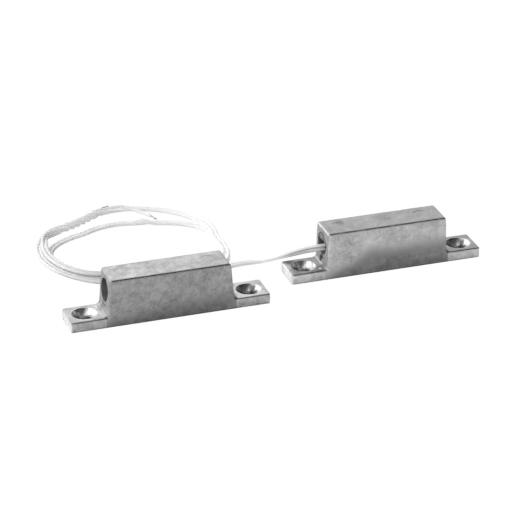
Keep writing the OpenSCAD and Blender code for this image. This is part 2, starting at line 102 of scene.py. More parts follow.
# ---------------------------------------------------------------- small node-graph helper
class Graph:
    """Builds a material's nodes; the arithmetic and texture methods return output sockets."""

    def __init__(self, name, tree=None):
        self.material = None
        if tree is None:
            self.material = bpy.data.materials.new(name)
            self.material.use_nodes = True
            tree = self.material.node_tree
        self.tree = tree
        tree.nodes.clear()

    def node(self, kind, **settings):
        made = self.tree.nodes.new(kind)
        for key, value in settings.items():
            setattr(made, key, value)
        return made

    def feed(self, node, socket, value):
        """Links an output socket to an input, or sets the input's value."""
        target = node.inputs[socket]
        if isinstance(value, bpy.types.NodeSocket):
            self.tree.links.new(value, target)
        elif value is not None:
            target.default_value = value

    def math(self, operation, a, b=None, c=None, clamp=False):
        made = self.node("ShaderNodeMath", operation=operation, use_clamp=clamp)
        for i, value in enumerate((a, b, c)):
            self.feed(made, i, value)
        return made.outputs[0]

    def vector(self, operation, a, b=None):
        made = self.node("ShaderNodeVectorMath", operation=operation)
        self.feed(made, 0, a)
        self.feed(made, 1, b)
        return made.outputs["Value" if operation in ("DOT_PRODUCT", "LENGTH") else "Vector"]

    def place(self, offset=(0, 0, 0), stretch=(1, 1, 1)):
        """The piece's coordinates at rest in millimetres, moved and stretched."""
        made = self.node("ShaderNodeMapping")
        coords = self.node("ShaderNodeTexCoord").outputs["Object"]
        self.feed(made, "Vector", self.vector("SUBTRACT", coords, tuple(offset)))
        self.feed(made, "Scale", tuple(s / MM for s in stretch))
        return made.outputs[0]

    def noise(self, where, scale, detail=3, rough=0.55, distortion=0.0):
        made = self.node("ShaderNodeTexNoise")
        self.feed(made, "Vector", where)
        self.feed(made, "Scale", scale)
        self.feed(made, "Detail", detail)
        self.feed(made, "Roughness", rough)
        self.feed(made, "Distortion", distortion)
        return made.outputs["Fac"]

    def cells(self, where, scale):
        """Distance to the nearest of many scattered points."""
        made = self.node("ShaderNodeTexVoronoi", feature="F1")
        self.feed(made, "Vector", where)
        self.feed(made, "Scale", scale)
        return made.outputs["Distance"]

    def remap(self, value, low, high, to_low=0.0, to_high=1.0):
        """Eases from to_low to to_high as the value goes from low to high."""
        made = self.node("ShaderNodeMapRange", interpolation_type="SMOOTHSTEP")
        for i, v in enumerate((value, low, high, to_low, to_high)):
            self.feed(made, i, v)
        return made.outputs[0]

    def grey(self, value):
        made = self.node("ShaderNodeCombineColor")
        for i in range(3):
            self.feed(made, i, value)
        return made.outputs[0]

    def tint(self, value, color):
        """A colour scaled by a value."""
        made = self.node("ShaderNodeVectorMath", operation="SCALE")
        self.feed(made, 0, color)
        self.feed(made, "Scale", value)
        return made.outputs[0]

    def bump(self, height, strength, distance):
        """Relief from a height; the distance is in millimetres."""
        made = self.node("ShaderNodeBump")
        self.feed(made, "Strength", strength)
        self.feed(made, "Distance", distance * MM)
        self.feed(made, "Height", height)
        return made.outputs[0]

    def split(self, vector):
        made = self.node("ShaderNodeSeparateXYZ")
        self.feed(made, 0, vector)
        return made.outputs

    def blend(self, factor, low, high):
        """low where the factor is 0, high where it is 1."""
        return self.math("MULTIPLY_ADD", factor, self.math("SUBTRACT", high, low), low)

    def scaled(self, value, mask, change):
        """The value, changed by a share of itself where the mask is 1."""
        return self.math("MULTIPLY", value, self.math("MULTIPLY_ADD", mask, change, 1.0))

    def shader(self, kind, **inputs):
        made = self.node(kind)
        for key, value in inputs.items():
            self.feed(made, key.replace("_", " "), value)
        return made.outputs[0]

    def output(self, shader, kind="ShaderNodeOutputMaterial"):
        self.tree.links.new(shader, self.node(kind).inputs[0])
        return self.material

    def finish(self, **inputs):
        """Ends the graph in a Principled surface."""
        return self.output(self.shader("ShaderNodeBsdfPrincipled", **inputs))


# ---------------------------------------------------------------- materials
def face_tone(g, tones, normal_x, normal_z, z, on_ear):
    """Painted light and shade: tone of the casting for each way its faces look, and how much each point is a top
    or an end.
    """
    facing_up = g.remap(normal_z, 0.55, 0.93)
    facing_end = g.remap(g.math("ABSOLUTE", normal_x), 0.6, 0.9)
    side = g.blend(on_ear, tones["block_side"], tones["ear_side"])
    block_end = g.blend(g.remap(normal_x, 0.5, 0.9), tones["end"], tones["far_end"])
    side = g.blend(facing_end, side, g.blend(on_ear, block_end, tones["ear_end"]))
    top = g.blend(on_ear, tones["block_top"], tones["ear_top"])
    # painted shade on low faces that slant towards an end; on the block's upper end edges a painted highlight
    # where end_edge is above 0, painted shade where it is below
    slanting = g.remap(g.math("MINIMUM", g.math("ABSOLUTE", normal_x), normal_z), 0.15, 0.5)
    slanting = g.math("MULTIPLY", slanting, g.remap(z, 6.0, 6.6, tones["slant"] - 1.0, tones["end_edge"]))
    tone = g.math("MULTIPLY", g.blend(facing_up, side, top), g.math("ADD", slanting, 1.0))
    return tone, facing_up, facing_end


def low_side_reflection(g, reflection_band, x, z, patches, clouds, grain):
    """1 in the painted dark reflection that creeps up the long sides from the foot, 0 above it."""
    height = g.remap(x, reflection_band["from_x"], reflection_band["to_x"], reflection_band["low"], reflection_band["high"])
    height = g.math("MULTIPLY_ADD", patches, 5.0, g.math("MULTIPLY_ADD", clouds, 6.0, height))
    above = g.math("SUBTRACT", z, g.math("MULTIPLY_ADD", grain, 5.0, height))
    return g.remap(above, -2.6, 1.8, 1.0, 0.0)


def edge_reflection_lines(g, tones, y, z, normal_y, normal_z, on_ear, clouds, grain):
    """1 on the dark, smooth lines along the long upper edges, a painted dark reflection, less in the gaps that
    break them.
    """
    line = g.remap(g.math("MINIMUM", g.math("ABSOLUTE", normal_y), normal_z), 0.10, 0.36)
    line = g.math("MAXIMUM", g.math("MULTIPLY", line, 0.75), long_edges(g, y, z, on_ear))
    unbroken = g.remap(g.math("MULTIPLY_ADD", grain, 0.4, clouds), -0.09, 0.03)
    return g.math("MULTIPLY", line, g.blend(unbroken, tones["edge_gaps"], 1.0))


def spotted(g, tone, at, grain, spots):
    """The tone, scaled inside round spots given as place, radius and factor."""
    for place, radius, factor in spots:
        away = g.vector("LENGTH", g.vector("SUBTRACT", at, place))
        away = g.math("MULTIPLY_ADD", grain, 0.8, away)
        tone = g.scaled(tone, g.remap(away, radius * 0.6, radius * 1.05, 1.0, 0.0), factor - 1.0)
    return tone


def tool_marks(g, x, y, on_ear, facing_up, patches):
    """1 on the burr round each countersink, and 1 on the ring round each ejector mark."""
    sink = ring_distance(g, x, y, HOLE_HALF / MM)
    burr = g.math("MULTIPLY", on_ear, g.remap(sink, SINK_R / MM + 0.5, SINK_R / MM + 0.1))
    mark = g.math("ABSOLUTE", g.math("SUBTRACT", ring_distance(g, x, y, MARK_X / MM), MARK_R / MM))
    pin_rim_glint = g.math("MULTIPLY", facing_up, g.remap(mark, 0.05, 0.28, 1.0, 0.0))
    return burr, g.math("MULTIPLY", pin_rim_glint, g.remap(patches, -0.08, 0.1, 0.2, 1.0))


def cast_alloy(name, centre, tones, reflection_band, spots, seed):
    """Tumbled die casting: cloudy oxide, fine pits; painted dark reflections low on its long sides and on its long
    edges, painted shade at the foot.
    """
    g = Graph(name)
    at = g.place(offset=centre)
    x, y, z = g.split(at)
    normal_x, normal_y, normal_z = g.split(g.node("ShaderNodeTexCoord").outputs["Normal"])
    shifted = g.vector("ADD", at, (seed * 31.0, seed * 7.0, 0))
    clouds = g.math("SUBTRACT", g.noise(shifted, 0.45, detail=5, rough=0.62, distortion=0.4), 0.5)
    patches = g.math("SUBTRACT", g.noise(shifted, 0.13, detail=2), 0.5)
    grain = g.math("SUBTRACT", g.noise(shifted, 2.8, detail=3, rough=0.7), 0.5)
    pits = g.remap(g.cells(shifted, 1.1), 0.0, 0.16, 1.0, 0.0)

    on_ear = g.remap(g.math("ABSOLUTE", x), 19.3, 19.9)
    on_block = g.math("SUBTRACT", 1.0, on_ear)
    tone, facing_up, facing_end = face_tone(g, tones, normal_x, normal_z, z, on_ear)
    near_mouth = g.math("MULTIPLY", g.remap(x, -17.4, -18.6), on_block)
    tone = g.scaled(tone, near_mouth, 0.10)
    # painted dark reflection low on the long sides
    dark = g.math("MULTIPLY", low_side_reflection(g, reflection_band, x, z, patches, clouds, grain), on_block)
    for faces in (facing_up, facing_end):
        dark = g.math("MULTIPLY", dark, g.math("SUBTRACT", 1.0, faces))
    tone = g.scaled(tone, dark, reflection_band["shade"] - 1.0)
    # painted dark reflection on the long upper edges
    lines = edge_reflection_lines(g, tones, y, z, normal_y, normal_z, on_ear, clouds, grain)
    tone = g.scaled(tone, lines, -0.5)
    # painted shade at the foot, where the casting meets the floor
    tone = g.math("MULTIPLY", tone, g.remap(z, 0.1, 0.5, 0.62, 1.0))
    # painted shade in the core pin's crescent groove
    tone = g.scaled(tone, pin_groove(g, x, y, z), -0.6)
    tone = spotted(g, tone, at, grain, spots)
    burr, pin_rim_glint = tool_marks(g, x, y, on_ear, facing_up, patches)

    fine = g.math("MULTIPLY", grain, g.blend(on_ear, 0.75 * tones["mottle"], 0.3 * tones["mottle"]))
    shade = g.math("MULTIPLY_ADD", clouds, tones["mottle"] * 0.8, g.math("ADD", fine, 1.0))
    shade = g.math("MULTIPLY_ADD", patches, tones["mottle"] * 0.35, shade)
    # the ejector marks' rims get a painted highlight
    for mask, change in ((pits, -0.14), (burr, 0.22), (pin_rim_glint, 0.3)):
        shade = g.math("MULTIPLY_ADD", mask, change, shade)
    rough = g.math("MULTIPLY_ADD", clouds, 0.24, tones["roughness"])
    rough = g.math("MULTIPLY_ADD", lines, -0.14, g.math("MULTIPLY_ADD", burr, -0.1, rough), clamp=True)
    relief = g.math("MULTIPLY_ADD", pits, -0.5, g.math("MULTIPLY_ADD", grain, 0.9, clouds))
    return g.finish(Base_Color=g.tint(g.math("MULTIPLY", tone, shade), (1.0, 1.0, 1.004)),
                    Metallic=0.88, Roughness=rough, Normal=g.bump(relief, 0.34, 0.07))


def long_edges(g, y, z, on_ear):
    """1 beside the long upper edges of the block and, fainter, of the ears; 0 away from them."""
    out = g.math("SUBTRACT", g.math("ABSOLUTE", y), g.blend(on_ear, TOP_HALF_W / MM, HALF_W / MM - 0.1))
    up = g.math("SUBTRACT", z, g.blend(on_ear, TOP_Z / MM, EAR_T / MM))
    away = g.math("SQRT", g.math("ADD", g.math("POWER", out, 2.0), g.math("POWER", up, 2.0)))
    return g.math("MULTIPLY", g.remap(away, 0.2, 0.85, 1.0, 0.0), g.blend(on_ear, 1.0, 0.45))


def pin_groove(g, x, y, z):
    """1 in the crescent that the core pin left under the bore's mouth, 0 elsewhere."""
    lower = g.math("SUBTRACT", z, BORE_Z / MM)
    from_axis = g.math("SQRT", g.math("ADD", g.math("POWER", y, 2.0), g.math("POWER", lower, 2.0)))
    off = g.math("ABSOLUTE", g.math("SUBTRACT", from_axis, CRESCENT_R))
    groove = g.math("MULTIPLY", g.remap(off, 0.10, 0.32, 1.0, 0.0), g.remap(lower, -4.3, -3.9, 1.0, 0.0))
    return g.math("MULTIPLY", groove, g.remap(x, -17.5, -17.0, 1.0, 0.0))


def ring_distance(g, x, y, off_centre):
    """Distance from the nearer of two upright axes that stand either side of the middle."""
    along = g.math("SUBTRACT", g.math("ABSOLUTE", x), off_centre)
    return g.math("SQRT", g.math("ADD", g.math("POWER", along, 2.0), g.math("POWER", y, 2.0)))


def machined_alloy(name, centre):
    """Freshly cut countersinks: bright, with fine rings and the cutter's chatter."""
    g = Graph(name)
    at = g.place(offset=centre)
    x, y, z = g.split(at)
    along = g.math("SUBTRACT", g.math("ABSOLUTE", x), HOLE_HALF / MM)
    radius = ring_distance(g, x, y, HOLE_HALF / MM)
    unrolled = g.node("ShaderNodeCombineXYZ")
    g.feed(unrolled, 0, g.math("MULTIPLY", g.math("ARCTAN2", y, along), 4.0))
    g.feed(unrolled, 1, g.math("MULTIPLY", radius, 0.25))
    g.feed(unrolled, 2, g.math("SIGN", x))
    chatter = g.remap(g.noise(unrolled.outputs[0], 1.6, detail=3), 0.5, 0.66)
    rings = g.math("SINE", g.math("MULTIPLY", radius, 26.0))
    smear = g.noise(at, 1.1, detail=3)
    # painted shade low in the countersink, towards its foot
    foot = g.remap(z, SINK_FOOT / MM - 0.3, SINK_FOOT / MM + 0.3, 0.6, 1.0)
    rightward = g.math("MULTIPLY", along, g.math("SIGN", x))
    tone = g.math("MULTIPLY_ADD", smear, 0.2, 0.60)
    # painted shade on the countersinks' left walls, painted highlight on their right walls
    tone = g.math("MULTIPLY", tone, g.remap(rightward, -2.5, 2.0, 0.76, 1.12))
    tone = g.math("MULTIPLY", foot, g.scaled(tone, chatter, -0.25))
    rough = g.math("MULTIPLY_ADD", chatter, 0.14, 0.27)
    height = g.math("MULTIPLY_ADD", smear, 0.8, g.math("MULTIPLY_ADD", chatter, -0.8, rings))
    return g.finish(Base_Color=g.tint(tone, (1.0, 1.0, 1.0)), Metallic=0.97, Roughness=rough,
                    Normal=g.bump(height, 0.12, 0.014))


def bore_wall(name):
    """Drilled bore: darker, as painted shade, dull, scored along its length."""
    g = Graph(name)
    score = g.noise(g.place(stretch=(0.15, 1, 1)), 3.0, detail=3)
    tone = g.math("MULTIPLY_ADD", score, 0.14, 0.21)
    rough = g.math("MULTIPLY_ADD", score, 0.2, 0.42)
    return g.finish(Base_Color=g.tint(tone, (1.0, 1.0, 1.0)), Metallic=0.8, Roughness=rough,
                    Normal=g.bump(score, 0.4, 0.03))


PVC_TONE = 0.79     # grey level of clean insulation
PVC_GLOW = 0.20     # emission that stands in for the light it scatters


def placed_coil_shade(g, x, y):
    """Painted shade on the insulation, by place: most near the coil's near and left sides, and at the mouth, in
    the block's shadow.
    """
    near_side = g.math("MULTIPLY", g.remap(y, 40.0, 16.0), g.remap(x, -50.0, -62.0))
    left_side = g.remap(x, -84.0, -94.0, 0.0, 0.6)
    at_mouth = g.remap(x, -31.0, -25.0, 0.0, 0.9)
    return g.math("MAXIMUM", g.math("MAXIMUM", near_side, left_side), at_mouth)


def white_pvc(name, seed):
    """Thin white PVC: low sheen, a few smudges, painted shade on its undersides and by place, some light passes
    through it.
    """
    g = Graph(name)
    at = g.place(offset=(seed * 0.021, 0, 0))
    skin = g.noise(at, 1.6, detail=4, rough=0.6)
    smudge = g.remap(g.noise(at, 0.12, detail=2), 0.52, 0.72)
    tone = g.math("MULTIPLY_ADD", smudge, -0.05, PVC_TONE)
    tone = g.math("MULTIPLY_ADD", skin, 0.03, tone)
    x, y = g.split(g.place())[:2]
    # painted shade: by place along the coil and at the mouth, and on the undersides; the glow is less there too
    coil_shade = placed_coil_shade(g, x, y)
    under = g.remap(g.split(g.node("ShaderNodeNewGeometry").outputs["Normal"])[2], -0.9, 0.45, 1.0, 0.0)
    coil_and_underside_shade = g.math("MULTIPLY", coil_shade, g.math("MULTIPLY_ADD", under, 0.36, 0.10))
    tone = g.scaled(g.scaled(tone, under, -0.24), coil_and_underside_shade, -1.0)
    rough = g.math("MULTIPLY_ADD", skin, 0.16, 0.30)
    return g.finish(Base_Color=g.tint(tone, (1.0, 1.0, 0.995)), Roughness=rough,
                    Subsurface_Weight=0.6, Subsurface_Scale=0.0010,
                    Subsurface_Radius=(1.0, 1.0, 1.0), Specular_IOR_Level=0.22,
                    Emission_Color=(1.0, 1.0, 1.0, 1.0),
                    Emission_Strength=g.math("MULTIPLY_ADD", coil_shade, -0.7 * PVC_GLOW, PVC_GLOW),
                    Normal=g.bump(skin, 0.06, 0.05))


def plain_finish(name, color, metallic, roughness, grain_scale, grain):
    """A finish with grain in its colour, roughness and relief."""
    g = Graph(name)
    fine = g.noise(g.place(), grain_scale, detail=3, rough=0.6)
    tone = g.math("MULTIPLY_ADD", g.math("SUBTRACT", fine, 0.5), grain, 1.0)
    rough = g.math("MULTIPLY_ADD", g.math("SUBTRACT", fine, 0.5), 0.25, roughness, clamp=True)
    return g.finish(Base_Color=g.tint(tone, color), Metallic=metallic, Roughness=rough,
                    Normal=g.bump(fine, 0.2, 0.03))


def set_epoxy(name):
    """Grey resin, glossy and full at the top of the mouth; below it, painted shade in the hollows where it has
    drawn down.
    """
    g = Graph(name)
    at = g.place()
    fine = g.noise(at, 1.4, detail=3)
    full = g.remap(g.split(at)[2], BORE_Z / MM + 0.3, BORE_Z / MM + 1.2)
    # painted shade in the hollows below the full top
    tone = g.math("MULTIPLY", g.blend(full, 0.025, 0.16), g.math("MULTIPLY_ADD", fine, 0.6, 0.7))
    return g.finish(Base_Color=g.grey(tone), Roughness=g.math("MULTIPLY_ADD", fine, 0.2, 0.1),
                    Normal=g.bump(fine, 0.4, 0.05))


def drawn_metal(name, color, roughness):
    """Metal with fine lines along X."""
    g = Graph(name)
    lines = g.noise(g.place(stretch=(0.06, 1, 1)), 14.0, detail=3)
    tone = g.math("MULTIPLY_ADD", lines, 0.3, 0.85)
    return g.finish(Base_Color=g.tint(tone, color), Metallic=1.0,
                    Roughness=g.math("MULTIPLY_ADD", lines, 0.2, roughness),
                    Normal=g.bump(lines, 0.2, 0.01))


def clear_glass(name):
    """Drawn glass with a slow ripple."""
    g = Graph(name)
    ripple = g.noise(g.place(), 0.8, detail=1)
    tone = g.math("MULTIPLY_ADD", ripple, 0.06, 0.92)
    return g.finish(Base_Color=g.tint(tone, (0.9, 1.0, 0.95)), Roughness=0.03, IOR=1.5,
                    Transmission_Weight=0.95, Normal=g.bump(ripple, 0.05, 0.05))


# ---------------------------------------------------------------- mesh helpers
def link(obj):
    """Puts an object in the scene."""
    bpy.context.scene.collection.objects.link(obj)
    return obj


def mesh_object(name, verts, faces, material):
    """A smooth-shaded object from points and faces."""
    mesh = bpy.data.meshes.new(name)
    mesh.from_pydata([tuple(v) for v in verts], [], faces)
    mesh.materials.append(material)
    for polygon in mesh.polygons:
        polygon.use_smooth = True
    mesh.update()
    return link(bpy.data.objects.new(name, mesh))


def baked_copy(obj, name):
    """A new mesh from an object with its modifiers worked out."""
    bpy.context.view_layer.update()
    graph = bpy.context.evaluated_depsgraph_get()
    mesh = bpy.data.meshes.new_from_object(obj.evaluated_get(graph))
    mesh.name = name
    return mesh


def welded_copy(node, name):
    """A closed copy of a CAD node's mesh."""
    bm = bmesh.new()
    bm.from_mesh(frame["nodes"][node].data)
    bmesh.ops.remove_doubles(bm, verts=bm.verts, dist=0.002 * MM)
    mesh = bpy.data.meshes.new(name)
    bm.to_mesh(mesh)
    bm.free()
    return link(bpy.data.objects.new(name, mesh))


def ring_faces(rings, sides, first=0):
    """Faces of a closed solid made of rings of points, with a flat cap at each end."""
    faces = []
    for i in range(rings - 1):
        for k in range(sides):
            a, b = first + i * sides + k, first + i * sides + (k + 1) % sides
            faces.append((a, b, b + sides, a + sides))
    faces.append(tuple(first + k for k in reversed(range(sides))))
    faces.append(tuple(first + (rings - 1) * sides + k for k in range(sides)))
    return faces


def turned(profile, place, sides=96, ripple=0.0):
    """Points and faces of a closed solid of revolution; profile is (radius, height) end to end."""
    verts = []
    for radius, height in profile:
        for k in range(sides):
            a = 2 * math.pi * k / sides
            r = radius + ripple * noise.noise(Vector((9 * math.cos(a), 9 * math.sin(a), height / MM)))
            verts.append(place(r * math.cos(a), r * math.sin(a), height))
    return verts, ring_faces(len(profile), sides)


def add_solids(bm, solids):
    """Adds closed solids to a mesh, with their faces turned outwards."""
    for verts, faces in solids:
        made = [bm.verts.new(v) for v in verts]
        new = [bm.faces.new([made[i] for i in face]) for face in faces]
        bmesh.ops.recalc_face_normals(bm, faces=new)


def solids_object(name, solids):
    """One object that holds several closed solids."""
    bm = bmesh.new()
    add_solids(bm, solids)
    mesh = bpy.data.meshes.new(name)
    bm.to_mesh(mesh)
    bm.free()
    return link(bpy.data.objects.new(name, mesh))


def shell_from(node, name, voxel, relax, plugs):
    """The CAD shape with its cuts plugged, remeshed into an even skin with softened edges."""
    source = welded_copy(node, name + ".source")
    bm = bmesh.new()
    bm.from_mesh(source.data)
    add_solids(bm, plugs)
    bm.to_mesh(source.data)
    bm.free()
    remesh = source.modifiers.new("skin", "REMESH")
    remesh.mode = "VOXEL"
    remesh.voxel_size = voxel
    remesh.adaptivity = 0.0
    soften = source.modifiers.new("soften", "SMOOTH")
    soften.factor = 0.5
    soften.iterations = relax
    mesh = baked_copy(source, name)
    bpy.data.objects.remove(source)
    return link(bpy.data.objects.new(name, mesh))


def cut(obj, solids):
    """Takes solids out of an object's mesh."""
    tool = solids_object(obj.name + ".tool", solids)
    boolean = obj.modifiers.new("cut", "BOOLEAN")
    boolean.operation = "DIFFERENCE"
    boolean.solver = "MANIFOLD"
    boolean.object = tool
    mesh = baked_copy(obj, obj.name)
    obj.modifiers.clear()
    obj.data = mesh
    bpy.data.objects.remove(tool)


def across(ahead):
    """Two directions square to a line: one level, one rising."""
    level = UP.cross(ahead).normalized()
    return level, ahead.cross(level)


def tube(line, radii, sides):
    """Points and faces of a closed tube along a line, with a radius for each of its points."""
    verts = []
    for i, point in enumerate(line):
        u, v = across((line[min(i + 1, len(line) - 1)] - line[max(i - 1, 0)]).normalized())
        for k in range(sides):
            a = 2 * math.pi * k / sides
            verts.append(point + radii[i] * (math.cos(a) * u + math.sin(a) * v))
    return verts, ring_faces(len(line), sides)


# ---------------------------------------------------------------- the cast housings
# Sizes and depths in millimetres
CLOUD_SIZE, CLOUD_DEPTH = 5.0, 0.035      # the casting's slow unevenness
GRAIN_SIZE, GRAIN_DEPTH = 0.9, 0.010      # and its fine grain
DING_COUNT = 26                           # small knocks
DING_REACH = (30, 5.2, 14.6)              # half length, half width and height of the box they are in
DING_END = 18.6                           # where knocks on the block's ends lie
MOST_OUT = 0.05                           # the skin never moves outwards by more than this
VOXEL, RELAX_ROUNDS = 0.2 * MM, 5         # of the skin, in metres, and rounds of softening


def upright(centre, x):
    """Places a turned solid's points round an upright axis of a housing."""
    return lambda u, v, height: centre + Vector((x + u, v, height))


def lengthwise(centre):
    """Places them round the bore's axis."""
    return lambda u, v, height: centre + Vector((height, u, BORE_Z + v))


def bore_plug(centre, lean):
    """Fills the bore flush with the leaning end face."""
    def place(u, v, height):
        z = BORE_Z + v
        end = -BLOCK_HALF + lean * z / TOP_Z
        return centre + Vector((max(height, end), u, z))
    return turned([(BORE_R + 0.1 * MM, -BLOCK_HALF), (BORE_R + 0.1 * MM, BORE_END + 0.1 * MM)], place)


def housing_plugs(centre, lean):
    """Solids that fill the bore, the holes and the marks before the skin is made."""
    plugs = [bore_plug(centre, lean)]
    for side in (-1, 1):
        plugs.append(turned([(SINK_R + 0.1 * MM, 0), (SINK_R + 0.1 * MM, EAR_T)],
                            upright(centre, side * HOLE_HALF)))
        plugs.append(turned([(MARK_R + 0.1 * MM, TOP_Z - 1 * MM), (MARK_R + 0.1 * MM, TOP_Z)],
                            upright(centre, side * MARK_X)))
    return plugs


def housing_cuts(centre):
    """Bore, drilled and countersunk holes, and the shallow marks of the ejector pins."""
    over = 1 * MM
    cuts = [turned([(BORE_R, -BLOCK_HALF - over), (BORE_R, BORE_END)], lengthwise(centre), ripple=0.008 * MM)]
    for side in (-1, 1):
        sink = [(HOLE_R, -over), (HOLE_R, SINK_FOOT), (SINK_R, EAR_T), (SINK_R + over, EAR_T + over)]
        cuts.append(turned(sink, upright(centre, side * HOLE_HALF), ripple=0.02 * MM))
        mark = [(MARK_R, TOP_Z - MARK_DEPTH), (MARK_R + 0.02 * MM, TOP_Z), (MARK_R + 0.1 * MM, TOP_Z + over)]
        cuts.append(turned(mark, upright(centre, side * MARK_X)))
    return cuts


# Kinds of face on a finished housing, and the material slot that each takes
CASTING, HOLE, BORE, BORE_FLOOR, MARK_FLOOR, MARK_WALL = range(6)
SLOT = {CASTING: 0, HOLE: 1, BORE: 2, BORE_FLOOR: 2, MARK_FLOOR: 0, MARK_WALL: 0}


def face_kind(p, normal):
    """The kind of the face at p, measured from the housing's own middle."""
    slack = 0.06 * MM
    from_hole = math.hypot(abs(p.x) - HOLE_HALF, p.y)
    if from_hole < SINK_R + slack and p.z < EAR_T + slack and abs(normal.z) < 0.9:
        return HOLE
    from_bore = math.hypot(p.y, p.z - BORE_Z)
    if p.x < BORE_END - slack and abs(from_bore - BORE_R) < slack and abs(normal.x) < 0.5:
        return BORE
    if abs(p.x - BORE_END) < slack and from_bore < BORE_R:
        return BORE_FLOOR
    if math.hypot(abs(p.x) - MARK_X, p.y) < MARK_R + slack and p.z > TOP_Z - 2 * slack:
        return MARK_FLOOR if normal.z > 0.8 else MARK_WALL
    return CASTING


def dings(centre, seed):
    """Small knocks scattered over the faces: place, radius and depth."""
    rng = random.Random(seed)
    found = []
    half_l, half_w, top = DING_REACH
    low = Vector((-half_l, -half_w, 0)) * MM
    high = Vector((half_l, half_w, top)) * MM
    for _ in range(DING_COUNT):
        p = Vector([rng.uniform(low[i], high[i]) for i in range(3)])
        side = rng.choice(("front", "top", "back", "end"))
        if side == "front":
            p.y = low.y
        elif side == "back":
            p.y = high.y
        elif side == "top":
            p.z = high.z
        else:
            p.x = rng.choice((-1, 1)) * DING_END * MM
        found.append((centre + p, rng.uniform(0.3, 0.9) * MM, rng.uniform(0.02, 0.06) * MM))
    return found


def ding_depth(p, marks):
    """How far the knocks push the skin in at p, millimetres."""
    total = 0
    for place, radius, depth in marks:
        away = (p - place).length
        if away < radius:
            total += depth / MM * (1 - (away / radius) ** 2) ** 2
    return total


def crescent_depth(p, normal):
    """How deep the core pin's mark is at p, millimetres."""
    if normal.x > -0.9 or p.x > -17 * MM:
        return 0
    y, z = p.y / MM, (p.z - BORE_Z) / MM
    beside = abs(math.hypot(y, z) - CRESCENT_R) / CRESCENT_HALF_WIDTH
    along = abs(math.degrees(math.atan2(y, -z))) / CRESCENT_HALF_ANGLE
    if beside >= 1 or along >= 1:
        return 0
    return CRESCENT_DEPTH * (1 - beside ** 2) * (1 - along ** 2)


def weather(obj, centre, seed):
    """Moves the skin in and out a little: slow waves, grain, knocks and the pin's mark."""
    offset = Vector((seed * 17.3, seed * 5.1, 0))
    marks = dings(centre, seed)
    mesh = obj.data
    normals = [v.normal.copy() for v in mesh.vertices]
    for v, normal in zip(mesh.vertices, normals):
        p = v.co
        if p.z < 0.25 * MM:
            continue
        q = p / MM + offset
        move = CLOUD_DEPTH * noise.noise(q / CLOUD_SIZE) + GRAIN_DEPTH * noise.noise(q / GRAIN_SIZE)
        move -= ding_depth(p, marks) + crescent_depth(p - centre, normal)
        v.co = p + normal * min(move, MOST_OUT) * MM
    mesh.update()


def finish_cuts(obj, centre):
    """Gives the cut faces their own finishes and crisp edges."""
    mesh = obj.data
    kinds = []
    for polygon in mesh.polygons:
        kind = face_kind(polygon.center - centre, polygon.normal)
        kinds.append(kind)
        polygon.use_smooth = True
        polygon.material_index = SLOT[kind]
    beside = {}
    for polygon in mesh.polygons:
        for key in polygon.edge_keys:
            beside.setdefault(key, set()).add(kinds[polygon.index])
    for edge in mesh.edges:
        edge.use_edge_sharp = len(beside[edge.key]) > 1


def build_housing(node, body, centre, lean, alloy, seed):
    """Blank casting, weathered, then drilled and countersunk."""
    shell = shell_from(node, node + "_cast", VOXEL, RELAX_ROUNDS, housing_plugs(centre, lean))
    weather(shell, centre, seed)
    cut(shell, housing_cuts(centre))
    shell.data.materials.clear()
    for material in (alloy, machined_alloy("machined_" + node, centre), bore_wall("bore_" + node)):
        shell.data.materials.append(material)
    finish_cuts(shell, centre)
    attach(shell, body)
    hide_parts(node)
    return shell


# ---------------------------------------------------------------- the leads' line
# The same rule as the CAD model's: a flat spiral, clockwise from above, places in turns from
# its near side and lengths in millimetres. The run to the mouth springs up to 1 mm higher here.
WIRE_R, PAIR_HALF = 0.52, 0.57                                  # lead's radius; half the pair's spacing
COIL_X, COIL_Y, COIL_RX, COIL_RY = -67.9, 36.4, 28.6, 26.8      # middle and half sizes of the oval
TURN_PITCH, TWISTS, TWIST_EASE = 2.4, 1.75, 0.25        # inset of a turn; turns and easing of the wrap
DENT, DENT_AT, DENT_WIDTH = 4.6, 0.412, 0.125           # pulled in where the ends wrap the first turn
SINK, SINK_FROM, SINK_WIDTH = 8.3, 1.23, 0.175          # the second turn runs further in at the back
RISE, RISE_FROM, RISE_WIDTH = 9.5, 1.566, 0.206         # and comes out again towards the right
SETTLE, SETTLE_FROM, SETTLE_WIDTH = 1.2, 1.8, 0.12      # and goes back in a little there
CORNER, CORNER_AT, CORNER_WIDTH = 6.9, 0.885, 0.11      # each turn swings out before it meets the run
LEAN, LEAN_FROM, LEAN_TO, LEAN_WIDTH = 90.0, 0.64, 0.87, 0.12   # the pair stands on edge at the right
SWAP_FROM, SWAP_WIDTH = 1.53, 0.09                      # the two leads change sides
BUNDLE_FROM, BUNDLE_TO, BUNDLE_WIDTH, BUNDLE_SWELL = 0.345, 0.495, 0.045, 0.035     # the wrap
BUNDLE_Z = WIRE_R + 1.42 * (PAIR_HALF + BUNDLE_SWELL) + 0.01                        # its axis' height
TAIL_FROM, TAIL_CLIMB, TAIL_Z = 2.0, 0.06, 1.6          # the free ends begin; height they climb to
TAIL_SHIFT_FROM, TAIL_SHIFT, TAIL_INSET = 0.04, 0.1, 1.8        # their place inside the first turn
JOIN_WIDTH, JOIN_LIFT = 0.06, 0.6                       # they arch over and come down to the wrap
PART_FROM, PART_RATE, DROP_FROM, DROP_WIDTH = 0.5, 563.0, 0.515, 0.06   # they part and drop again
TAIL_END = {1: 2.588, -1: 2.486}                        # where each lead's insulation ends
TIP_TURNS = 0.016                                       # length of the bare tip
HEADING_STEP = 0.002                                    # short step that gives the line's direction
EXIT_Z = PIVOT.z / MM
TURN_STEPS, RUN_STEPS = 320, 14                         # points for a turn, and for a span of the run


